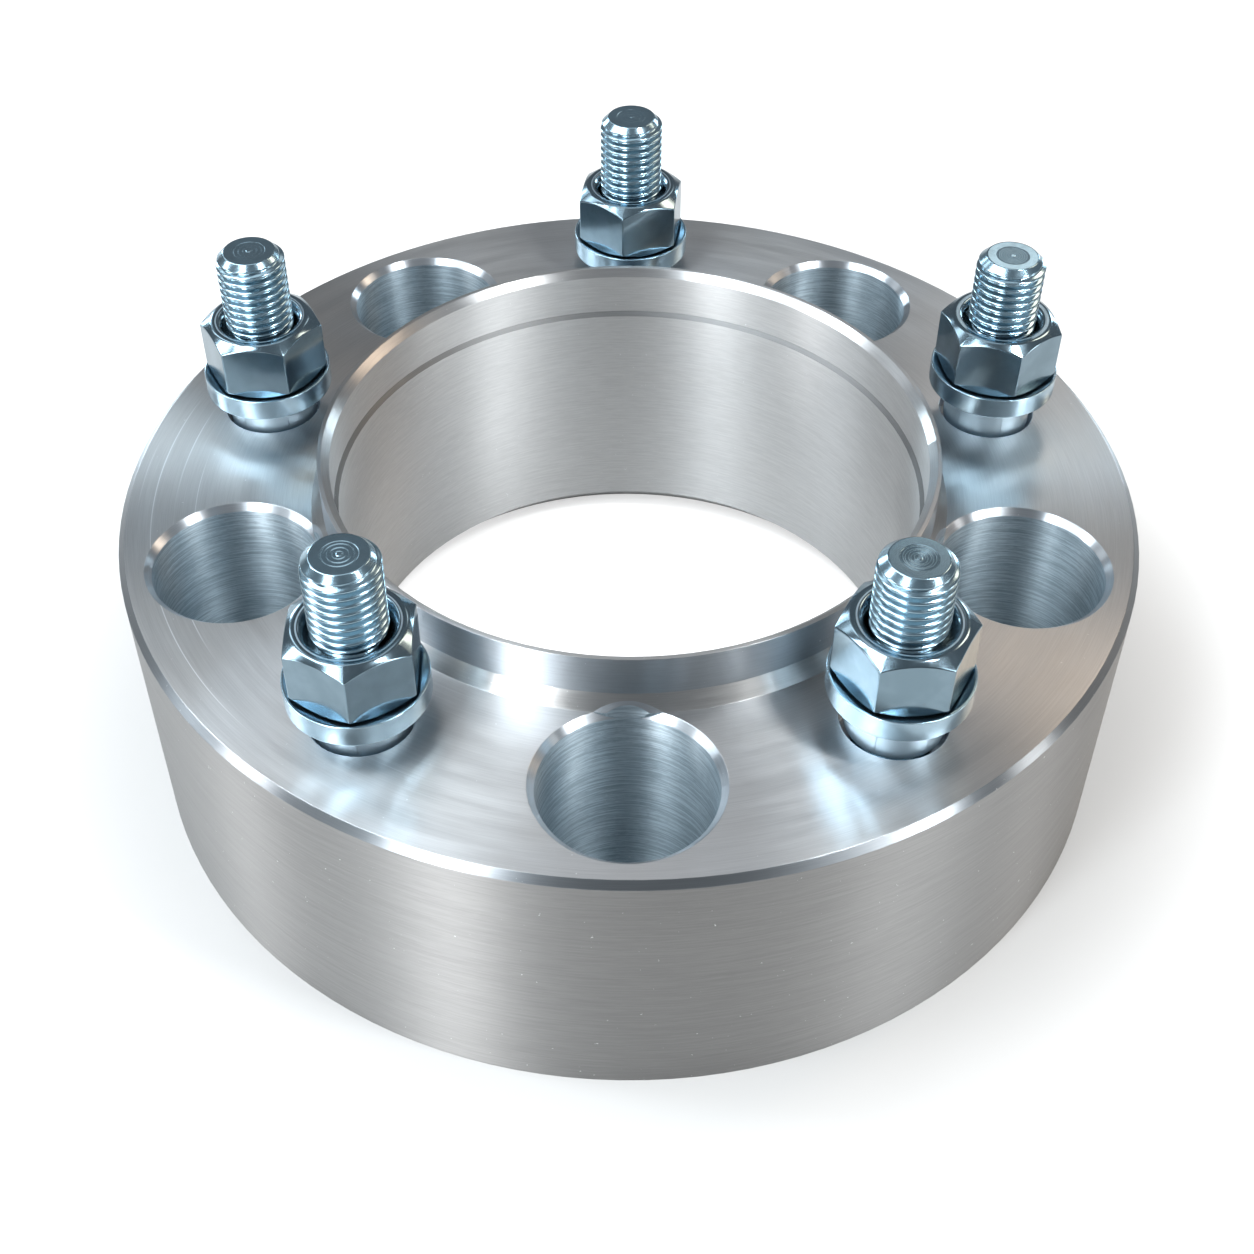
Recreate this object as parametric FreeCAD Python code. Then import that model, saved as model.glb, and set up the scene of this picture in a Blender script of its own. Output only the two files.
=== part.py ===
"""Bolt-on wheel spacer: a turned ring with a hub lip, five pressed-in wheel studs and five lug nuts.

The axis of the ring is Z. The flat back face, which meets the vehicle's hub, lies at Z = 0, and the
front face, which carries the road wheel, looks up. Five deep pockets with conical seats take the nuts
that hold the ring to the hub. Between them five studs are pressed in from the back, and each carries
a double-chamfered hex nut whose round shank passes through a loose dished washer. Like fasteners share
one file as separate solids, and the smallest edge breaks are left sharp.
All sizes are in millimetres and angles in degrees.
"""
import FreeCAD, Part
import math
import os

from FreeCAD import Vector

# Ring
OUTER_DIAMETER = 177.8
RING_THICKNESS = 50.8
FRONT_EDGE_CHAMFER = 1.1
PITCH_DIAMETER = 139.7
LUG_COUNT = 5
FIRST_STUD_AZIMUTH = 90.0

# Hub lip and bore
LIP_DIAMETER = 108.0
LIP_HEIGHT = 9.8
LIP_WALL = 2.0
LIP_INNER_CHAMFER = 1.3
RAMP_WIDTH = 2.0
RAMP_HEIGHT = 2.4
BORE_STEP = 0.7
BORE_STEP_ABOVE_FACE = 0.5
HUB_LEAD_IN = 5.0

# Pockets for the nuts of the hub's own studs
POCKET_DIAMETER = 28.0
POCKET_CHAMFER = 1.1
POCKET_FLOOR = 12.0
SEAT_DIAMETER = 18.0
SEAT_HALF_ANGLE = 30.0
HUB_STUD_HOLE_DIAMETER = 14.5

# Wheel studs. The pitch line of a metric thread lies this share of its pitch inside the outer size.
THREAD_DIAMETER = 12.0
THREAD_PITCH = 1.5
PITCH_LINE_SHARE = 0.6495
STUD_REACH = 33.5
STUD_END_CHAMFER = 1.6
STUD_WEB = 20.0
HEAD_DIAMETER = 20.0
HEAD_THICKNESS = 5.0
HEAD_CLEARANCE = 1.0
KNURL_DIAMETER = 12.9
KNURL_DEPTH = 0.3
KNURL_LENGTH = 12.0
KNURL_TEETH = 20

# Lug nuts
NUT_ACROSS_FLATS = 19.0
NUT_HEIGHT = 11.6
NUT_END_DIAMETER = 17.2
NUT_CHAMFER_ANGLE = 35.0
NUT_MOUTH_DIAMETER = 14.8
NUT_MOUTH_DEPTH = 1.9
THREAD_CLEARANCE = 0.05
SHANK_DIAMETER = 15.6
SHANK_REACH = 8.0
NUT_RECESS_CLEARANCE = 0.85
NUT_RECESS_DEPTH = 5.0

# Dished seat washers, each loose on its nut's shank
WASHER_DIAMETER = 22.6
WASHER_HEIGHT = 3.9
WASHER_CLEARANCE = 0.15
DISH_DEPTH = 1.05
DISH_FLOOR_MARGIN = 0.3

# How far each nut has been run down, as the height of its washer's rim above the front face, and the
# azimuth of one of its corners. The studs are counted from the first, anticlockwise from above.
RIM_HEIGHTS = [8.1, 9.0, 9.3, 11.0, 10.4]
CORNER_AZIMUTHS = [261.7, 240.0, 272.0, 241.5, 280.8]

# Radii and heights that follow from the sizes above
OUTER_RADIUS = OUTER_DIAMETER / 2
PITCH_RADIUS = PITCH_DIAMETER / 2
LIP_RADIUS = LIP_DIAMETER / 2
LIP_BORE_RADIUS = LIP_RADIUS - LIP_WALL
HUB_BORE_RADIUS = LIP_BORE_RADIUS - BORE_STEP
RAMP_FOOT_RADIUS = LIP_RADIUS + RAMP_WIDTH
LIP_TOP = RING_THICKNESS + LIP_HEIGHT
STEP_TOP = RING_THICKNESS + BORE_STEP_ABOVE_FACE
HEAD_SEAT = RING_THICKNESS - STUD_WEB
NUT_RECESS_FLOOR = RING_THICKNESS - NUT_RECESS_DEPTH
STUD_TIP = RING_THICKNESS + STUD_REACH
MESH_RADIUS = THREAD_DIAMETER / 2 - THREAD_PITCH * PITCH_LINE_SHARE / 2
LUG_STEP = 360.0 / LUG_COUNT


def turned(profile):
    """Solid of revolution about Z from a closed outline of (radius, height) points."""
    points = [Vector(radius, 0, height) for radius, height in profile]
    outline = Part.makePolygon(points + [points[0]])
    return Part.Face(outline).revolve(Vector(0, 0, 0), Vector(0, 0, 1), 360)


def on_pitch_circle(shape, azimuth, height=0.0):
    """Copy of a shape moved from the ring's axis to the pitch circle."""
    moved = shape.copy()
    angle = math.radians(azimuth)
    moved.translate(Vector(PITCH_RADIUS * math.cos(angle), PITCH_RADIUS * math.sin(angle), height))
    return moved


def stud_azimuth(index):
    return FIRST_STUD_AZIMUTH + index * LUG_STEP


def pocket_azimuth(index):
    return stud_azimuth(index) + LUG_STEP / 2


def ring_blank():
    """The turned body: outer wall, front face, ramp, lip and stepped bore."""
    return turned([
        (HUB_BORE_RADIUS + HUB_LEAD_IN, 0),
        (OUTER_RADIUS, 0),
        (OUTER_RADIUS, RING_THICKNESS - FRONT_EDGE_CHAMFER),
        (OUTER_RADIUS - FRONT_EDGE_CHAMFER, RING_THICKNESS),
        (RAMP_FOOT_RADIUS, RING_THICKNESS),
        (LIP_RADIUS, RING_THICKNESS + RAMP_HEIGHT),
        (LIP_RADIUS, LIP_TOP),
        (LIP_BORE_RADIUS + LIP_INNER_CHAMFER, LIP_TOP),
        (LIP_BORE_RADIUS, LIP_TOP - LIP_INNER_CHAMFER),
        (LIP_BORE_RADIUS, STEP_TOP),
        (HUB_BORE_RADIUS, STEP_TOP - BORE_STEP),
        (HUB_BORE_RADIUS, HUB_LEAD_IN),
    ])


def pocket_cutter():
    """Deep pocket, the conical nut seat and the hub stud's hole, as one cutter."""
    pocket = POCKET_DIAMETER / 2
    seat = SEAT_DIAMETER / 2
    hole = HUB_STUD_HOLE_DIAMETER / 2
    seat_depth = (seat - hole) / math.tan(math.radians(SEAT_HALF_ANGLE))
    return turned([
        (0, 0),
        (hole, 0),
        (hole, POCKET_FLOOR - seat_depth),
        (seat, POCKET_FLOOR),
        (pocket, POCKET_FLOOR),
        (pocket, LIP_TOP),
        (0, LIP_TOP),
    ])


def rim_cutter(azimuth):
    """The chamfer of one pocket's rim, as far as the front face reaches."""
    pocket = POCKET_DIAMETER / 2
    chamfer = turned([
        (0, RING_THICKNESS - POCKET_CHAMFER),
        (pocket, RING_THICKNESS - POCKET_CHAMFER),
        (pocket + POCKET_CHAMFER, RING_THICKNESS),
        (0, RING_THICKNESS),
    ])
    foot = Part.makeCylinder(RAMP_FOOT_RADIUS, RING_THICKNESS)
    return on_pitch_circle(chamfer, azimuth).cut(foot)


def peak_cutter():
    """The same chamfer where the pocket runs a little way into the ramp, which leaves a small peak.

    The ramp rises towards the lip, so here the chamfer is a steeper cone.
    """
    pocket = POCKET_DIAMETER / 2
    ramp = math.atan2(RAMP_HEIGHT, RAMP_WIDTH)
    edge = RING_THICKNESS + (RAMP_FOOT_RADIUS - PITCH_RADIUS + pocket) * math.tan(ramp)
    bottom = edge - POCKET_CHAMFER
    top = RING_THICKNESS + RAMP_HEIGHT
    widening = math.cos(ramp) / (1 + math.sin(ramp))
    return turned([
        (0, bottom),
        (pocket, bottom),
        (pocket + widening * (top - bottom), top),
        (0, top),
    ])


def stud_hole_cutter():
    """Recess for the nut's shank, the knurl's hole and the deep counterbore for the stud's head."""
    recess = SHANK_DIAMETER / 2 + NUT_RECESS_CLEARANCE
    counterbore = HEAD_DIAMETER / 2 + HEAD_CLEARANCE
    return turned([
        (0, 0),
        (counterbore, 0),
        (counterbore, HEAD_SEAT),
        (KNURL_DIAMETER / 2, HEAD_SEAT),
        (KNURL_DIAMETER / 2, NUT_RECESS_FLOOR),
        (recess, NUT_RECESS_FLOOR),
        (recess, RING_THICKNESS),
        (0, RING_THICKNESS),
    ])


def spacer_ring():
    cutters = []
    for index in range(LUG_COUNT):
        cutters.append(on_pitch_circle(pocket_cutter(), pocket_azimuth(index)))
        cutters.append(rim_cutter(pocket_azimuth(index)))
        cutters.append(on_pitch_circle(peak_cutter(), pocket_azimuth(index)))
        cutters.append(on_pitch_circle(stud_hole_cutter(), stud_azimuth(index)))
    return ring_blank().cut(cutters)


def knurl():
    """Straight knurl: teeth that run along the stud, with their crests at the hole's size."""
    crest = KNURL_DIAMETER / 2
    root = crest - KNURL_DEPTH
    points = []
    for step in range(2 * KNURL_TEETH):
        radius = crest if step % 2 == 0 else root
        angle = math.pi * step / KNURL_TEETH
        points.append(Vector(radius * math.cos(angle), radius * math.sin(angle), HEAD_SEAT))
    outline = Part.makePolygon(points + [points[0]])
    return Part.Face(outline).extrude(Vector(0, 0, KNURL_LENGTH))


def wheel_stud(free_from):
    """Stud with a round head, a knurled neck and a threaded rod.

    The thread that stands free above the nut is drawn at its outer size, and the rest, where the two
    threads mesh and below, at its pitch line.
    """
    thread = THREAD_DIAMETER / 2
    head = HEAD_DIAMETER / 2
    rod = turned([
        (0, HEAD_SEAT - HEAD_THICKNESS),
        (head, HEAD_SEAT - HEAD_THICKNESS),
        (head, HEAD_SEAT),
        (MESH_RADIUS, HEAD_SEAT),
        (MESH_RADIUS, free_from),
        (thread, free_from),
        (thread, STUD_TIP - STUD_END_CHAMFER),
        (thread - STUD_END_CHAMFER, STUD_TIP),
        (0, STUD_TIP),
    ])
    return rod.fuse(knurl()).removeSplitter()


def hex_prism(across_flats, height, corner_azimuth):
    corner = across_flats / math.sqrt(3)
    points = []
    for step in range(6):
        angle = math.radians(corner_azimuth + 60 * step)
        points.append(Vector(corner * math.cos(angle), corner * math.sin(angle), 0))
    outline = Part.makePolygon(points + [points[0]])
    return Part.Face(outline).extrude(Vector(0, 0, height))


def lug_nut(corner_azimuth):
    """Hex nut with both ends chamfered to a cone, on a round shank that passes through the washer.

    Its underside lies at height 0 and the shank hangs below it.
    """
    end = NUT_END_DIAMETER / 2
    corner = NUT_ACROSS_FLATS / math.sqrt(3)
    outside = corner + 1.0
    rise = (outside - end) * math.tan(math.radians(NUT_CHAMFER_ANGLE))
    cones = turned([
        (0, 0),
        (end, 0),
        (outside, rise),
        (outside, NUT_HEIGHT - rise),
        (end, NUT_HEIGHT),
        (0, NUT_HEIGHT),
    ])
    hexagon = hex_prism(NUT_ACROSS_FLATS, NUT_HEIGHT, corner_azimuth).common(cones)
    shank_bottom = -(WASHER_HEIGHT - DISH_DEPTH + SHANK_REACH)
    shank = turned([
        (0, shank_bottom),
        (SHANK_DIAMETER / 2, shank_bottom),
        (SHANK_DIAMETER / 2, 0),
        (0, 0),
    ])
    bore = MESH_RADIUS + THREAD_CLEARANCE
    thread_hole = turned([
        (0, shank_bottom),
        (bore, shank_bottom),
        (bore, NUT_HEIGHT - NUT_MOUTH_DEPTH),
        (NUT_MOUTH_DIAMETER / 2, NUT_HEIGHT),
        (0, NUT_HEIGHT),
    ])
    return hexagon.fuse(shank).removeSplitter().cut(thread_hole)


def seat_washer():
    """Loose washer with a dished upper face; the flat floor of the dish lies at height 0."""
    bore = SHANK_DIAMETER / 2 + WASHER_CLEARANCE
    outside = WASHER_DIAMETER / 2
    dish_floor = NUT_END_DIAMETER / 2 + DISH_FLOOR_MARGIN
    return turned([
        (bore, DISH_DEPTH - WASHER_HEIGHT),
        (outside, DISH_DEPTH - WASHER_HEIGHT),
        (outside, DISH_DEPTH),
        (dish_floor, 0),
        (bore, 0),
    ])


def build():
    """Every file's solids by its name: the ring, and one group for each kind of fastener."""
    studs = []
    nuts = []
    washers = []
    for index in range(LUG_COUNT):
        azimuth = stud_azimuth(index)
        rim = RIM_HEIGHTS[index % len(RIM_HEIGHTS)]
        corner = CORNER_AZIMUTHS[index % len(CORNER_AZIMUTHS)]
        seat = RING_THICKNESS + rim - DISH_DEPTH
        studs.append(on_pitch_circle(wheel_stud(seat + NUT_HEIGHT), azimuth))
        nuts.append(on_pitch_circle(lug_nut(corner), azimuth, seat))
        washers.append(on_pitch_circle(seat_washer(), azimuth, seat))
    return {
        "spacer_ring": [spacer_ring()],
        "wheel_studs": studs,
        "lug_nuts": nuts,
        "seat_washers": washers,
    }


os.makedirs("parts", exist_ok=True)
for name, pieces in build().items():
    for piece in pieces:
        if not piece.isValid() or len(piece.Solids) != 1:
            raise SystemExit(f"a piece of {name} isn't one valid solid")
        print(name, round(piece.Volume, 1), "mm3")
    solids = [piece.Solids[0] for piece in pieces]
    group = solids[0] if len(solids) == 1 else Part.makeCompound(solids)
    group.exportStep(os.path.join("parts", name + ".step"))
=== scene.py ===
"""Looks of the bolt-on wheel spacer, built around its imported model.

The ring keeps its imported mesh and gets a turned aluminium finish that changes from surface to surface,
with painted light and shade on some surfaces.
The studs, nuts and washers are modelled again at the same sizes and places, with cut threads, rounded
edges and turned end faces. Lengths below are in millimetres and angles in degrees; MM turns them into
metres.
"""
import bpy
import math
import numpy as np
from mathutils import Matrix, Vector


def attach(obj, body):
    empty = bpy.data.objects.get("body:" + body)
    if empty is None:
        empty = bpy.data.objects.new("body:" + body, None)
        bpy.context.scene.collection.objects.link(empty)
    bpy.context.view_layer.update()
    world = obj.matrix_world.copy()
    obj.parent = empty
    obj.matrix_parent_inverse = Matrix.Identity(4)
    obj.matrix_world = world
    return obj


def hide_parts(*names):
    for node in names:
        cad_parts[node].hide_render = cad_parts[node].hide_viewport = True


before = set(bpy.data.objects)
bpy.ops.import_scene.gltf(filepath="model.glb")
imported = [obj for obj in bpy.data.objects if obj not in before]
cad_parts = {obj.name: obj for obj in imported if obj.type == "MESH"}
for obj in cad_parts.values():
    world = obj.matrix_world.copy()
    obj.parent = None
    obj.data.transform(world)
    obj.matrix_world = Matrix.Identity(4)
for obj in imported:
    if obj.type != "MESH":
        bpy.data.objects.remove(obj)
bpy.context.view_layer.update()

MM = 0.001

# Ring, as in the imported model
OUTER_RADIUS = 88.9
RING_THICKNESS = 50.8
FRONT_EDGE_CHAMFER = 1.1
PITCH_RADIUS = 69.85
LUG_COUNT = 5
FIRST_STUD_AZIMUTH = 90.0
LUG_STEP = 360.0 / LUG_COUNT
LIP_RADIUS = 54.0
RAMP_WIDTH = 2.0
BORE_RADIUS = 51.3
HUB_LEAD_IN = 5.0
POCKET_RIM_RADIUS = 15.1
RECESS_RADIUS = 8.65

# Finish of the ring; a scratch is given by its radius and half its width
SCRATCHES = [(58.2, 0.10), (76.0, 0.05), (79.6, 0.07), (83.4, 0.07), (86.0, 0.05)]
# Azimuth of the side of the face where the scratches are painted as glints
SCRATCH_GLINT_AZIMUTH = 205.0
EDGE_SOFTENING = 0.22
MARK_DEPTH = 0.02

# Studs
THREAD_RADIUS = 6.0
THREAD_PITCH = 1.5
THREAD_DEPTH = 0.9
MESH_RADIUS = 5.513
STUD_END_CHAMFER = 1.6
HEAD_RADIUS = 10.0
HEAD_THICKNESS = 5.0
HEAD_SEAT = 30.8
KNURL_RADIUS = 6.45
KNURL_DEPTH = 0.3
KNURL_LENGTH = 12.0
KNURL_TEETH = 20
END_RING_SPACING = 0.8
END_RING_HEIGHT = 0.05
END_RINGS_TO = 2.8
END_NUB_RADIUS = 0.45

# Nuts
NUT_ACROSS_FLATS = 19.0
NUT_HEIGHT = 11.6
NUT_END_RADIUS = 8.6
NUT_CHAMFER_ANGLE = 35.0
NUT_CORNER_ROUNDING = 0.3
NUT_MOUTH_RADIUS = 7.4
NUT_MOUTH_DEPTH = 1.9
NUT_BORE_RADIUS = 5.563
SHANK_RADIUS = 7.8

# Washers
WASHER_RADIUS = 11.3
WASHER_HEIGHT = 3.9
WASHER_BORE_RADIUS = 7.95
DISH_DEPTH = 1.05
DISH_FLOOR_RADIUS = 8.9
DISH_LAND = 0.35

# Camera, from a fit to the picture, which is 1254 pixels wide and high
IMAGE_SIDE = 1254
FOCAL_PIXELS = 1769.15
OPTICAL_AXIS_ROW = 572.0
SENSOR_WIDTH = 36.0
CAMERA_PLACE = (-0.31, -241.37, 252.70)
CAMERA_TILT = 42.862
CAMERA_ROLL = 0.362

# Floor: its size, and how much the lens sees it lifted by the distance from the ring's axis; the lift
# inside the bore is painted light over the ring's shade there
FLOOR_HALF_SIDE = 2000.0
FLOOR_GAP = 0.02
FLOOR_COLOUR = (0.465, 0.46, 0.455, 1)
FLOOR_LIFT = 0.30
FLOOR_LIFT_FROM = 89.0
FLOOR_LIFT_TO = 140.0
FLOOR_FAR_LIFT = 0.7
FLOOR_FAR_FROM = 250.0
FLOOR_FAR_TO = 900.0
FLOOR_PAINTED_LIGHT_IN_BORE = 0.75
FLOOR_PAINTED_LIGHT_AT_BORE_WALL = 0.55
FLOOR_OPEN_RADIUS = BORE_RADIUS + HUB_LEAD_IN

# Tint of the studio's light in what the metal mirrors
MIRRORED_TINT = (0.88, 0.96, 1.04, 1)


def stud_azimuth(index):
    return FIRST_STUD_AZIMUTH + index * LUG_STEP


def stud_axis(index):
    """Where a stud's axis stands, in millimetres."""
    angle = math.radians(stud_azimuth(index))
    return PITCH_RADIUS * math.cos(angle), PITCH_RADIUS * math.sin(angle)


def solid_points(node, index):
    """Points of one solid of a packed group, in millimetres and measured from its stud's axis."""
    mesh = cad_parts[node].data
    points = np.empty(len(mesh.vertices) * 3)
    mesh.vertices.foreach_get("co", points)
    points = points.reshape(-1, 3) / MM - (*stud_axis(index), 0.0)
    near = np.hypot(points[:, 0], points[:, 1]) < PITCH_RADIUS / 3
    return points[near]


def nut_seat(index):
    """Height of the nut's underside."""
    return solid_points("lug_nuts", index)[:, 2].max() - NUT_HEIGHT


def nut_corner(index):
    """Azimuth of one corner of the nut's hexagon, in radians."""
    points = solid_points("lug_nuts", index)
    x, y, _ = points[np.hypot(points[:, 0], points[:, 1]).argmax()]
    return math.atan2(y, x)


# Mesh building: every fastener is a profile of (radius, height) points carried round its own axis

def softened(profile, roundings, steps=3):
    """Profiles with their corners replaced by short curves. Arrays are (angles, points, 2)."""
    count = profile.shape[1]
    rows = []
    for at in range(count):
        corner = profile[:, at]
        rounding = roundings[at]
        if rounding == 0:
            rows.append(corner)
            continue
        ends = []
        for other in (profile[:, at - 1], profile[:, (at + 1) % count]):
            way = other - corner
            length = np.maximum(np.linalg.norm(way, axis=1, keepdims=True), 1e-9)
            ends.append(corner + way * np.minimum(rounding / length, 0.45))
        for step in range(steps + 1):
            t = step / steps
            rows.append((1 - t) ** 2 * ends[0] + 2 * t * (1 - t) * corner + t ** 2 * ends[1])
    return np.stack(rows, axis=1)


def swept(name, angles, profile, place, solid_axis):
    """Mesh object of a profile carried round Z through place.

    A profile with solid_axis runs from the axis to the axis, and any other is a closed loop.
    """
    if solid_axis:
        poles = profile[0, 0, 1], profile[0, -1, 1]
        profile = profile[:, 1:-1]
    turns, count = profile.shape[:2]
    radius, height = profile[..., 0], profile[..., 1]
    x = place[0] + radius * np.cos(angles)[:, None]
    y = place[1] + radius * np.sin(angles)[:, None]
    points = np.stack([x, y, height + place[2]], axis=-1).reshape(-1, 3)
    faces = []
    for turn in range(turns):
        after = (turn + 1) % turns
        for row in range(count if not solid_axis else count - 1):
            above = (row + 1) % count
            faces.append((turn * count + row, after * count + row,
                          after * count + above, turn * count + above))
    if solid_axis:
        low, high = len(points), len(points) + 1
        points = np.vstack([points, [(place[0], place[1], pole + place[2]) for pole in poles]])
        for turn in range(turns):
            after = (turn + 1) % turns
            faces.append((after * count, turn * count, low))
            faces.append((turn * count + count - 1, after * count + count - 1, high))
    mesh = bpy.data.meshes.new(name)
    mesh.from_pydata((points * MM).tolist(), [], faces)
    mesh.validate()
    mesh.shade_smooth()
    piece = bpy.data.objects.new(name, mesh)
    bpy.context.collection.objects.link(piece)
    return piece


def even_normals(piece):
    """Keeps broad faces flat beside their rounded edges."""
    modifier = piece.modifiers.new("even normals", "WEIGHTED_NORMAL")
    modifier.weight = 70
    modifier.keep_sharp = True


def full_turn(count):
    return np.arange(count) * 2 * math.pi / count


def hexagon_angles(corner, flat_steps=14, corner_steps=6):
    """Azimuths that follow a rounded hexagon, with extra ones round each corner."""
    flat = NUT_ACROSS_FLATS / 2
    half = math.atan((flat - NUT_CORNER_ROUNDING) * math.tan(math.radians(30)) / flat)
    angles = []
    for side in range(6):
        middle = corner + math.radians(30 + 60 * side)
        angles.extend(middle + np.linspace(-half, half, flat_steps))
        gap = math.radians(60) - 2 * half
        angles.extend(middle + half + gap * np.arange(1, corner_steps) / corner_steps)
    return np.array(angles)


def hexagon_radius(angles, corner):
    """Radius of the rounded hexagon at each azimuth."""
    flat = NUT_ACROSS_FLATS / 2
    rounding = NUT_CORNER_ROUNDING
    off_corner = np.abs((angles - corner + math.radians(30)) % math.radians(60) - math.radians(30))
    on_flat = flat / np.cos(math.radians(30) - off_corner)
    middle = (flat - rounding) / math.cos(math.radians(30))
    inside = np.maximum(rounding ** 2 - (middle * np.sin(off_corner)) ** 2, 0)
    on_corner = middle * np.cos(off_corner) + np.sqrt(inside)
    reach = math.radians(30) - math.atan((flat - rounding) * math.tan(math.radians(30)) / flat)
    return np.where(off_corner < reach, on_corner, on_flat)


def same_profile(points, turns):
    return np.repeat(np.array(points, float)[None], turns, axis=0)


def lug_nut(index):
    seat = nut_seat(index)
    corner = nut_corner(index)
    angles = hexagon_angles(corner)
    hexagon = hexagon_radius(angles, corner)
    chamfer = (hexagon - NUT_END_RADIUS) * math.tan(math.radians(NUT_CHAMFER_ANGLE))
    bottom = solid_points("lug_nuts", index)[:, 2].min() - seat
    profile = same_profile([
        (NUT_BORE_RADIUS, bottom),
        (SHANK_RADIUS, bottom),
        (SHANK_RADIUS, 0),
        (NUT_END_RADIUS, 0),
        (0, 0),
        (0, 0),
        (NUT_END_RADIUS, NUT_HEIGHT),
        (NUT_MOUTH_RADIUS, NUT_HEIGHT),
        (NUT_BORE_RADIUS, NUT_HEIGHT - NUT_MOUTH_DEPTH),
    ], len(angles))
    profile[:, 4] = np.stack([hexagon, chamfer], axis=1)
    profile[:, 5] = np.stack([hexagon, NUT_HEIGHT - chamfer], axis=1)
    profile = softened(profile, [0, 0.4, 0, 0.12, 0.22, 0.22, 0.4, 0.25, 0], steps=4)
    piece = swept(f"lug_nut_{index + 1}", angles, profile, (*stud_axis(index), seat), False)
    even_normals(piece)
    return piece


def seat_washer(index):
    angles = full_turn(144)
    rim = DISH_DEPTH
    profile = same_profile([
        (WASHER_BORE_RADIUS, rim - WASHER_HEIGHT),
        (WASHER_RADIUS, rim - WASHER_HEIGHT),
        (WASHER_RADIUS, rim),
        (WASHER_RADIUS - DISH_LAND, rim),
        (DISH_FLOOR_RADIUS, 0),
        (WASHER_BORE_RADIUS, 0),
    ], len(angles))
    profile = softened(profile, [0.2, 0.25, 0.15, 0.1, 0.3, 0.15])
    piece = swept(f"seat_washer_{index + 1}", angles, profile, (*stud_axis(index), nut_seat(index)), False)
    even_normals(piece)
    return piece


def thread_radius(angles, heights):
    """Radius of the right-hand thread, with flat crests and rounded roots."""
    phase = heights[None] / THREAD_PITCH - angles[:, None] / (2 * math.pi)
    off_crest = np.abs(phase - np.round(phase))
    flank = np.clip((off_crest - 0.08) / 0.34, 0, 1)
    eased = flank * flank * (3 - 2 * flank)
    return THREAD_RADIUS - THREAD_DEPTH * (0.5 * flank + 0.5 * eased)


def wheel_stud(index):
    """Head, knurl and rod, with the thread cut from inside the nut's mouth to the tip."""
    turns = 120
    angles = full_turn(turns)
    thread_from = nut_seat(index) + NUT_HEIGHT - NUT_MOUTH_DEPTH + 0.5
    tip = solid_points("wheel_studs", index)[:, 2].max()
    head_bottom = HEAD_SEAT - HEAD_THICKNESS
    head = softened(same_profile([
        (0, head_bottom),
        (HEAD_RADIUS, head_bottom),
        (HEAD_RADIUS, HEAD_SEAT),
        (KNURL_RADIUS, HEAD_SEAT),
    ], turns), [0, 0.6, 0.3, 0])
    tooth = (angles / (2 * math.pi) * KNURL_TEETH) % 1.0
    knurl = KNURL_RADIUS - KNURL_DEPTH * (1 - np.abs(2 * tooth - 1))
    rows = [head]
    for height in (HEAD_SEAT + 0.01, HEAD_SEAT + KNURL_LENGTH):
        rows.append(np.stack([knurl, np.full(turns, height)], axis=1)[:, None])
    rows.append(same_profile([
        (MESH_RADIUS, HEAD_SEAT + KNURL_LENGTH + 0.01),
        (MESH_RADIUS, thread_from - 0.01),
    ], turns))
    heights = np.arange(thread_from, tip, 0.1)
    cone = THREAD_RADIUS + 0.02 - STUD_END_CHAMFER + (tip - heights)
    radius = np.minimum(thread_radius(angles, heights), cone[None])
    rows.append(np.stack([radius, np.repeat(heights[None], turns, axis=0)], axis=-1))
    end = THREAD_RADIUS - STUD_END_CHAMFER - 0.12
    rings = np.linspace(end, 0.05, 60)
    lifts = -END_RING_HEIGHT * (1 - np.cos(2 * math.pi * rings / END_RING_SPACING)) / 2
    lifts = np.where(rings > END_RINGS_TO, 0.0, lifts)
    lifts = np.where(rings < END_NUB_RADIUS, END_RING_HEIGHT, lifts)
    rows.append(same_profile(list(zip(rings, tip - END_RING_HEIGHT + lifts)), turns))
    rows.append(same_profile([(0, tip)], turns))
    profile = np.concatenate(rows, axis=1)
    return swept(f"wheel_stud_{index + 1}", angles, profile, (*stud_axis(index), 0.0), True)


# Materials

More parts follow.
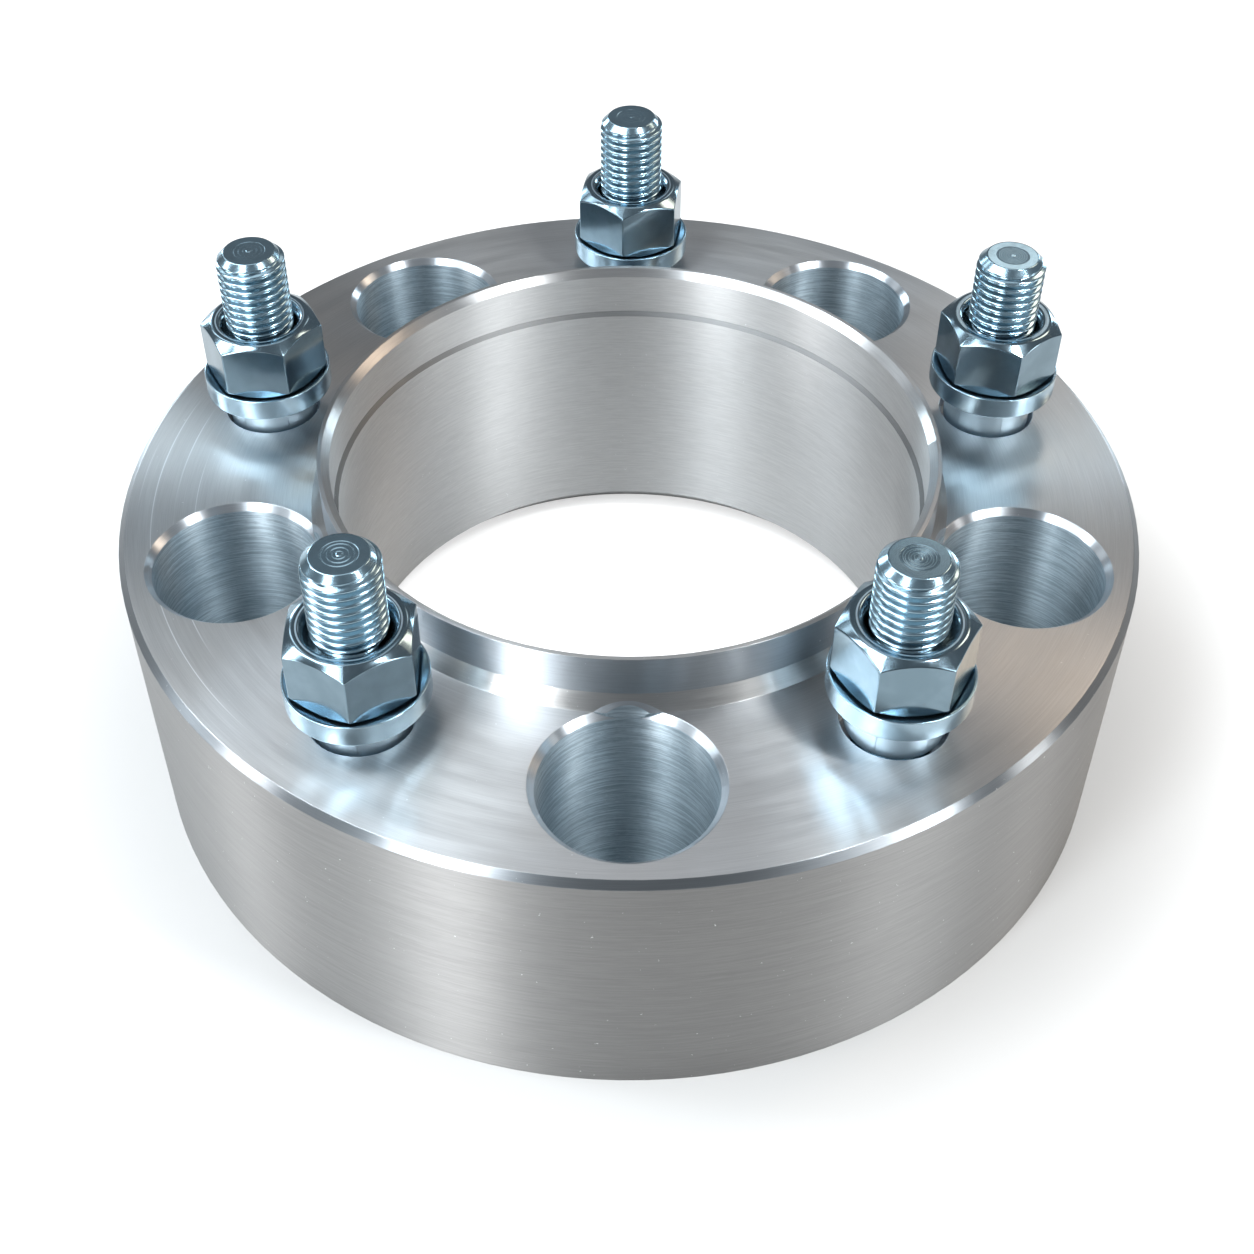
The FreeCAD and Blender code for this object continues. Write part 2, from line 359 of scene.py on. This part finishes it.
class Nodes:
    """A node tree, with short calls for the nodes used here."""

    def __init__(self, tree):
        self.tree = tree

    def put(self, socket, value):
        if isinstance(value, bpy.types.NodeSocket):
            self.tree.links.new(value, socket)
        elif value is not None:
            socket.default_value = value

    def node(self, kind, **settings):
        made = self.tree.nodes.new("ShaderNode" + kind)
        for key, value in settings.items():
            setattr(made, key, value)
        return made

    def math(self, operation, *values, clamp=False):
        made = self.node("Math", operation=operation, use_clamp=clamp)
        for socket, value in zip(made.inputs, values):
            self.put(socket, value)
        return made.outputs[0]

    def times(self, product, *others):
        for other in others:
            product = self.math("MULTIPLY", product, other)
        return product

    def parts(self, vector):
        made = self.node("SeparateXYZ")
        self.put(made.inputs[0], vector)
        return made.outputs

    def vector(self, x, y, z):
        made = self.node("CombineXYZ")
        for socket, value in zip(made.inputs, (x, y, z)):
            self.put(socket, value)
        return made.outputs[0]

    def ease(self, value, low, high, start=0.0, end=1.0):
        """Smooth step from start to end as value goes from low to high."""
        made = self.node("MapRange", interpolation_type="SMOOTHSTEP")
        for socket, setting in zip(made.inputs, (value, low, high, start, end)):
            self.put(socket, setting)
        return made.outputs[0]

    def line(self, value, middle, half, soft):
        """1 within half of middle, falling to 0 over soft."""
        off = self.math("ABSOLUTE", self.math("SUBTRACT", value, middle))
        return self.ease(off, half, half + soft, 1.0, 0.0)

    def mix(self, factor, first, second):
        made = self.node("Mix", data_type="RGBA")
        self.put(made.inputs["Factor"], factor)
        self.put(made.inputs[6], first)
        self.put(made.inputs[7], second)
        return made.outputs[2]

    def blend(self, factor, first, second):
        made = self.node("Mix", data_type="FLOAT")
        self.put(made.inputs["Factor"], factor)
        self.put(made.inputs[2], first)
        self.put(made.inputs[3], second)
        return made.outputs[0]

    def noise(self, vector, scale, detail=3.0, roughness=0.5, fourth=None):
        made = self.node("TexNoise", noise_dimensions="3D" if fourth is None else "4D")
        self.put(made.inputs["Vector"], vector)
        if fourth is not None:
            self.put(made.inputs["W"], fourth)
        made.inputs["Scale"].default_value = scale
        made.inputs["Detail"].default_value = detail
        made.inputs["Roughness"].default_value = roughness
        return made.outputs["Fac"]

    def bump(self, height, strength, distance, normal=None):
        made = self.node("Bump")
        made.inputs["Strength"].default_value = strength
        made.inputs["Distance"].default_value = distance * MM
        self.put(made.inputs["Height"], height)
        if normal is not None:
            self.put(made.inputs["Normal"], normal)
        return made.outputs[0]

    def place(self):
        """The point on the surface, in millimetres."""
        made = self.node("VectorMath", operation="SCALE")
        self.put(made.inputs[0], self.node("TexCoord").outputs["Object"])
        made.inputs["Scale"].default_value = 1 / MM
        return made.outputs[0]

    def around(self, x, y):
        """Radius and azimuth about the ring's axis."""
        radius = self.math("SQRT", self.math("ADD", self.times(x, x), self.times(y, y)))
        return radius, self.math("ARCTAN2", y, x)

    def in_sector(self, radius, azimuth, first):
        """Offsets from the nearest of the axes on the pitch circle, one of which is at azimuth first."""
        half = math.radians(LUG_STEP / 2)
        turned = self.math("SUBTRACT", azimuth, math.radians(first))
        folded = self.math("WRAP", turned, half, -half)
        out = self.math("SUBTRACT", self.times(radius, self.math("COSINE", folded)), PITCH_RADIUS)
        along = self.times(radius, self.math("SINE", folded))
        return out, along, self.math("SUBTRACT", azimuth, folded)


class Shader(Nodes):
    """A new material, whose surface takes its values by name."""

    def __init__(self, name):
        self.material = bpy.data.materials.new(name)
        self.material.use_nodes = True
        super().__init__(self.material.node_tree)
        self.surface = self.tree.nodes["Principled BSDF"]

    def set(self, name, value):
        self.put(self.surface.inputs[name], value)


def grey(level, blue=0.0):
    """A grey with its blue lifted, or its red for a warm one."""
    return (level - blue, level, level + blue, 1.0)


def ring_material():
    """Bare turned aluminium, with its own finish on each surface of the ring, and painted light and shade
    on the outer wall, bore, step, recesses and marks.
    """
    s = Shader("turned aluminium")
    place = s.place()
    x, y, z = s.parts(place)
    radius, azimuth = s.around(x, y)
    normal_z = s.parts(s.node("NewGeometry").outputs["Normal"])[2]
    level = s.math("ABSOLUTE", normal_z)

    # Which surface the point lies on
    out, along, centre = s.in_sector(radius, azimuth, FIRST_STUD_AZIMUTH + LUG_STEP / 2)
    from_pocket, round_pocket = s.around(out, along)
    in_pocket = s.math("LESS_THAN", from_pocket, POCKET_RIM_RADIUS + 0.04)
    stud_out, stud_along, _ = s.in_sector(radius, azimuth, FIRST_STUD_AZIMUTH)
    from_stud, _ = s.around(stud_out, stud_along)
    recess_painted_light = s.math("LESS_THAN", from_stud, RECESS_RADIUS + 0.05)
    upright = s.ease(level, 0.4, 0.5, 1.0, 0.0)
    wall = s.times(upright, s.math("GREATER_THAN", radius, OUTER_RADIUS - 0.3))
    bore = s.times(upright, s.math("LESS_THAN", radius, LIP_RADIUS - 1.0))
    above = s.math("GREATER_THAN", z, RING_THICKNESS + 0.02)
    lip = s.times(upright, above, s.math("GREATER_THAN", radius, LIP_RADIUS - 0.5))
    sloped = s.times(s.ease(level, 0.4, 0.5), s.ease(level, 0.9, 0.97, 1.0, 0.0))
    ramp = s.times(sloped, s.line(radius, LIP_RADIUS + RAMP_WIDTH / 2, RAMP_WIDTH / 2, 0.3))
    ramp = s.times(ramp, s.math("SUBTRACT", 1.0, in_pocket))
    edge_from = OUTER_RADIUS - FRONT_EDGE_CHAMFER - 0.1
    outer_edge = s.times(sloped, s.math("GREATER_THAN", radius, edge_from))
    pocket_edge = s.times(in_pocket, sloped, s.math("GREATER_THAN", z, RING_THICKNESS - 2.0))
    edge = s.math("MAXIMUM", outer_edge, pocket_edge)
    inside_lip = s.math("LESS_THAN", radius, LIP_RADIUS - 1.9)
    step = s.times(s.line(z, RING_THICKNESS + 0.15, 0.35, 0.1), inside_lip)

    # Streaks that the tool left, round the ring or round the pocket
    turn_x = s.times(s.math("COSINE", azimuth), 9.0)
    turn_y = s.times(s.math("SINE", azimuth), 9.0)
    own_x = s.times(s.math("COSINE", round_pocket), 2.0)
    own_y = s.times(s.math("SINE", round_pocket), 2.0)
    path_x = s.blend(in_pocket, turn_x, own_x)
    path_y = s.blend(in_pocket, turn_y, own_y)
    path = s.vector(path_x, path_y, s.times(z, 3.0))
    across = s.blend(in_pocket, radius, from_pocket)
    fine = s.noise(path, 1.0, 3.0, 0.7, s.times(across, 7.0))
    broad = s.noise(path, 0.35, 3.0, 0.6, s.times(across, 1.2))
    patches = s.noise(place, 0.035, 2.0, 0.5)

    # Specks, nicks and single circular scratches: real marks, painted near white as glints, with the
    # scratches only on the side of the face where they catch the light
    specks = s.ease(s.noise(place, 1.3, 2.0, 0.6), 0.73, 0.78)
    scratches = 0.0
    for number, (at, half_width) in enumerate(SCRATCHES):
        faded = s.ease(s.noise(s.vector(turn_x, turn_y, number * 7.0), 0.17, 1.0), 0.45, 0.6)
        scratch = s.times(s.line(radius, at, half_width, 0.06), faded)
        scratches = s.math("MAXIMUM", scratches, scratch)
    on_face = s.times(s.ease(level, 0.95, 0.99), s.math("GREATER_THAN", z, RING_THICKNESS - 0.05))
    on_face = s.times(on_face, s.math("GREATER_THAN", from_pocket, POCKET_RIM_RADIUS))
    from_side = s.math("SUBTRACT", azimuth, math.radians(SCRATCH_GLINT_AZIMUTH))
    glint_side = s.ease(s.math("COSINE", from_side), 0.70, 0.86)
    marks = s.math("MAXIMUM", s.times(scratches, on_face, glint_side), specks)

    # Colour
    colour = s.mix(s.ease(patches, 0.35, 0.65), grey(0.58, -0.004), grey(0.64, 0.008))
    # Painted shade: the outer wall is coloured much darker than the face, standing in for the darker
    # reflection that the wall shows.
    colour = s.mix(wall, colour, grey(0.31, -0.005))
    # Painted light: the bore wall is coloured paler, lifting the shade inside the bore.
    colour = s.mix(bore, colour, grey(0.70, -0.004))
    colour = s.mix(lip, colour, grey(0.42, 0.03))
    colour = s.mix(ramp, colour, grey(0.48, -0.010))
    # Painted shade: a dark band round the step under the lip's inner edge.
    colour = s.mix(step, colour, grey(0.34, 0.0))
    drilled = s.mix(s.ease(fine, 0.35, 0.65), (0.64, 0.73, 0.78, 1), (0.42, 0.51, 0.57, 1))
    colour = s.mix(s.times(in_pocket, upright), colour, drilled)
    # Painted light: the recesses under the washers are coloured pale, lifting their shade.
    colour = s.mix(recess_painted_light, colour, grey(0.80, 0.05))
    colour = s.mix(outer_edge, colour, grey(0.34, 0.02))
    colour = s.mix(pocket_edge, colour, grey(0.60, 0.03))
    dulled = s.times(s.ease(fine, 0.3, 0.7, 0.0, 0.4), s.blend(wall, 0.7, 1.0))
    colour = s.mix(dulled, colour, s.mix(0.5, colour, grey(0.10)))
    # Painted highlight: specks and scratches are coloured near white, as glints.
    colour = s.mix(s.times(marks, 0.7), colour, grey(0.92, 0.01))
    s.set("Base Color", colour)
    s.set("Metallic", 1.0)
    s.set("Anisotropic", 0.9)
    s.set("Anisotropic Rotation", 0.25)

    # Roughness
    rough = s.ease(broad, 0.3, 0.7, 0.30, 0.35)
    rough = s.blend(upright, rough, s.ease(broad, 0.3, 0.7, 0.43, 0.47))
    rough = s.blend(lip, rough, 0.42)
    rough = s.blend(edge, rough, 0.3)
    rough = s.blend(step, rough, 0.6)
    s.set("Roughness", rough)

    # Grooves run round the ring, and round each pocket inside it
    from_x = s.math("SUBTRACT", x, s.times(s.math("COSINE", centre), PITCH_RADIUS, in_pocket))
    from_y = s.math("SUBTRACT", y, s.times(s.math("SINE", centre), PITCH_RADIUS, in_pocket))
    direction = s.vector(s.times(from_y, -1.0), from_x, 0.0)
    unit = s.node("VectorMath", operation="NORMALIZE")
    s.put(unit.inputs[0], direction)
    s.set("Tangent", unit.outputs[0])

    # Softened edges, with the streaks and marks in relief
    edges = s.node("Bevel", samples=4)
    edges.inputs["Radius"].default_value = EDGE_SOFTENING * MM
    height = s.math("ADD", s.times(broad, 0.3), fine)
    height = s.math("SUBTRACT", height, s.times(marks, 0.6))
    s.set("Normal", s.bump(height, 0.25, MARK_DEPTH, edges.outputs[0]))
    return s.material


def zinc_material(name, colour, dull, roughness, grain):
    """Bright zinc plate with a blue tint: cloudy and slightly pitted."""
    s = Shader(name)
    place = s.place()
    clouds = s.noise(place, 0.16, 3.0, 0.6)
    fine = s.noise(place, grain, 3.0, 0.6)
    pits = s.ease(s.noise(place, 1.6, 1.0, 0.5), 0.76, 0.80)
    tint = s.mix(s.ease(clouds, 0.35, 0.65), colour, dull)
    tint = s.mix(s.times(pits, 0.35), tint, grey(0.2))
    rough = s.ease(clouds, 0.3, 0.7, roughness, roughness + 0.04)
    rough = s.math("ADD", rough, s.ease(fine, 0.4, 0.7, 0.0, 0.03))

    # Paler and duller at the radius of the shank: the paler colour is painted light on the shank in the
    # washer's shade. This also draws a thin ring on the nut's top
    x, y, _ = s.parts(place)
    out, along, _ = s.in_sector(*s.around(x, y), FIRST_STUD_AZIMUTH)
    shank = s.line(s.around(out, along)[0], SHANK_RADIUS, 0.1, 0.05)
    s.set("Base Color", s.mix(shank, tint, (0.50, 0.62, 0.70, 1)))
    s.set("Metallic", 1.0)
    s.set("Roughness", s.blend(shank, rough, 0.45))
    height = s.math("SUBTRACT", s.times(fine, 0.3), pits)
    s.set("Normal", s.bump(height, 0.035, MARK_DEPTH))
    return s.material


def dress(piece, material, node):
    piece.data.materials.append(material)
    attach(piece, "root")
    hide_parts(node)


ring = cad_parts["spacer_ring"]
aluminium = ring_material()
for holder in ring.material_slots:
    holder.material = aluminium

zinc_stud = zinc_material("zinc plated stud", colour=(0.34, 0.49, 0.58, 1), dull=(0.30, 0.42, 0.49, 1),
                          roughness=0.17, grain=1.2)
zinc_nut = zinc_material("zinc plated nut", colour=(0.24, 0.33, 0.39, 1), dull=(0.20, 0.28, 0.33, 1),
                         roughness=0.13, grain=0.9)
zinc_washer = zinc_material("zinc plated washer", colour=(0.40, 0.54, 0.63, 1), dull=(0.36, 0.48, 0.56, 1),
                            roughness=0.20, grain=0.5)
for number in range(LUG_COUNT):
    dress(wheel_stud(number), zinc_stud, "wheel_studs")
    dress(lug_nut(number), zinc_nut, "lug_nuts")
    dress(seat_washer(number), zinc_washer, "seat_washers")


# Stage: pale floor, studio light and camera

def floor_material():
    """Pale floor that keeps the object's shadow, lifted to white for the lens away from the ring. Inside
    the bore it is lifted too, as painted light over the shade of the bore's walls.
    """
    s = Shader("pale floor")
    x, y, _ = s.parts(s.place())
    distance, _ = s.around(x, y)
    s.set("Base Color", FLOOR_COLOUR)
    s.set("Roughness", 1.0)
    s.set("Specular IOR Level", 0.0)
    near = s.ease(distance, FLOOR_LIFT_FROM, FLOOR_LIFT_TO, 0.0, FLOOR_LIFT)
    far = s.ease(distance, FLOOR_FAR_FROM, FLOOR_FAR_TO, 0.0, FLOOR_FAR_LIFT)
    # Painted light: the floor inside the bore is lifted over the shade of the ring's walls.
    inside = s.ease(distance, BORE_RADIUS, FLOOR_OPEN_RADIUS, FLOOR_PAINTED_LIGHT_IN_BORE, FLOOR_PAINTED_LIGHT_AT_BORE_WALL)
    inside = s.times(inside, s.math("LESS_THAN", distance, FLOOR_OPEN_RADIUS))
    lift = s.math("MAXIMUM", s.math("ADD", near, far), inside)
    rays = s.node("LightPath").outputs
    seen = s.math("MAXIMUM", rays["Is Camera Ray"], rays["Is Transmission Ray"])
    s.set("Emission Color", (1, 1, 1, 1))
    s.set("Emission Strength", s.times(lift, seen))
    return s.material


def floor():
    side = FLOOR_HALF_SIDE * MM
    mesh = bpy.data.meshes.new("floor")
    corners = [(-side, -side, 0), (side, -side, 0), (side, side, 0), (-side, side, 0)]
    mesh.from_pydata(corners, [], [(0, 1, 2, 3)])
    mesh.materials.append(floor_material())
    plane = bpy.data.objects.new("floor", mesh)
    plane.location.z = -FLOOR_GAP * MM
    bpy.context.collection.objects.link(plane)


def softbox(name, azimuth, elevation, distance, width, height, level, tint):
    """Area light that faces the object. level is how bright its face looks, where 1 is white.

    azimuth and elevation are in degrees; distance, width and height are in metres.
    """
    lamp = bpy.data.lights.new(name, "AREA")
    lamp.shape = "RECTANGLE"
    lamp.size = width
    lamp.size_y = height
    lamp.energy = level * math.pi * width * height
    lamp.color = tint
    holder = bpy.data.objects.new(name, lamp)
    turn, rise = math.radians(azimuth), math.radians(elevation)
    away = Vector((math.cos(turn) * math.cos(rise), math.sin(turn) * math.cos(rise), math.sin(rise)))
    aim = Vector((0, 0, RING_THICKNESS * MM))
    holder.location = aim + away * distance
    holder.rotation_euler = away.to_track_quat("Z", "Y").to_euler()
    bpy.context.collection.objects.link(holder)


def studio_world(mirrored, fill):
    """White to the camera, with one level for what the metal mirrors and one for the light it gives."""
    world = bpy.data.worlds.new("studio")
    bpy.context.scene.world = world
    world.use_nodes = True
    sky = Nodes(world.node_tree)
    rays = sky.node("LightPath").outputs
    level = sky.blend(rays["Is Glossy Ray"], fill, mirrored)
    level = sky.blend(rays["Is Camera Ray"], level, 1.0)
    tint = sky.mix(rays["Is Glossy Ray"], (1, 1, 1, 1), MIRRORED_TINT)
    back = sky.tree.nodes["Background"]
    sky.put(back.inputs["Strength"], level)
    sky.put(back.inputs["Color"], tint)


def camera():
    data = bpy.data.cameras.new("camera")
    data.sensor_width = SENSOR_WIDTH
    data.lens = FOCAL_PIXELS * SENSOR_WIDTH / IMAGE_SIDE
    data.shift_y = (OPTICAL_AXIS_ROW - IMAGE_SIDE / 2) / IMAGE_SIDE
    data.clip_start = 0.01
    tilt, roll = math.radians(CAMERA_TILT), math.radians(CAMERA_ROLL)
    forward = Vector((0, math.cos(tilt), -math.sin(tilt)))
    level_right = Vector((1, 0, 0))
    level_up = Vector((0, math.sin(tilt), math.cos(tilt)))
    right = level_right * math.cos(roll) + level_up * math.sin(roll)
    up = level_up * math.cos(roll) - level_right * math.sin(roll)
    matrix = Matrix((right, up, -forward)).transposed().to_4x4()
    matrix.translation = Vector(CAMERA_PLACE) * MM
    holder = bpy.data.objects.new("camera", data)
    holder.matrix_world = matrix
    bpy.context.collection.objects.link(holder)
    bpy.context.scene.camera = holder


floor()
studio_world(mirrored=0.22, fill=0.84)
softbox("left softbox", 175, 42, 0.7, 0.12, 0.45, 13.0, (0.86, 0.94, 1.0))
softbox("front left softbox", 234, 46, 0.7, 0.12, 0.30, 14.0, (0.86, 0.94, 1.0))
softbox("low front left softbox", 230, 31, 0.7, 0.08, 0.30, 12.0, (0.92, 0.97, 1.0))
softbox("high left softbox", 203, 63, 0.7, 0.26, 0.22, 9.5, (0.84, 0.94, 1.0))
softbox("far left softbox", 142, 42, 0.7, 0.12, 0.30, 3.0, (0.90, 0.96, 1.0))
softbox("high right softbox", 330, 60, 0.7, 0.05, 0.12, 85.0, (0.94, 0.98, 1.0))
softbox("right softbox", 328, 31, 0.7, 0.07, 0.30, 24.0, (0.94, 0.98, 1.0))
softbox("back left softbox", 126, 22, 0.8, 0.12, 0.30, 1.6, (0.82, 0.92, 1.0))
softbox("back left strip", 130, 10, 0.8, 0.12, 0.26, 15.0, (0.74, 0.90, 1.0))
softbox("back right softbox", 70, 36, 0.8, 0.12, 0.20, 1.6, (1.0, 0.95, 0.90))
softbox("back right strip", 50, 10, 0.8, 0.12, 0.26, 10.0, (0.74, 0.90, 1.0))
softbox("warm right softbox", 30, 40, 0.8, 0.14, 0.30, 6.0, (1.0, 0.78, 0.58))
softbox("overhead softbox", 110, 76, 0.7, 0.40, 0.40, 1.0, (0.97, 0.98, 1.0))
softbox("left strip", 198, 8, 0.7, 0.12, 0.26, 11.0, (0.98, 0.99, 1.0))
softbox("front left strip", 240, 8, 0.7, 0.14, 0.26, 18.0, (0.98, 0.99, 1.0))
softbox("right strip", 315, 8, 0.7, 0.10, 0.26, 5.0, (0.97, 0.99, 1.0))
softbox("far right strip", 348, 8, 0.7, 0.10, 0.26, 6.0, (1.0, 0.98, 0.95))
camera()

bpy.context.scene.view_settings.view_transform = "Standard"
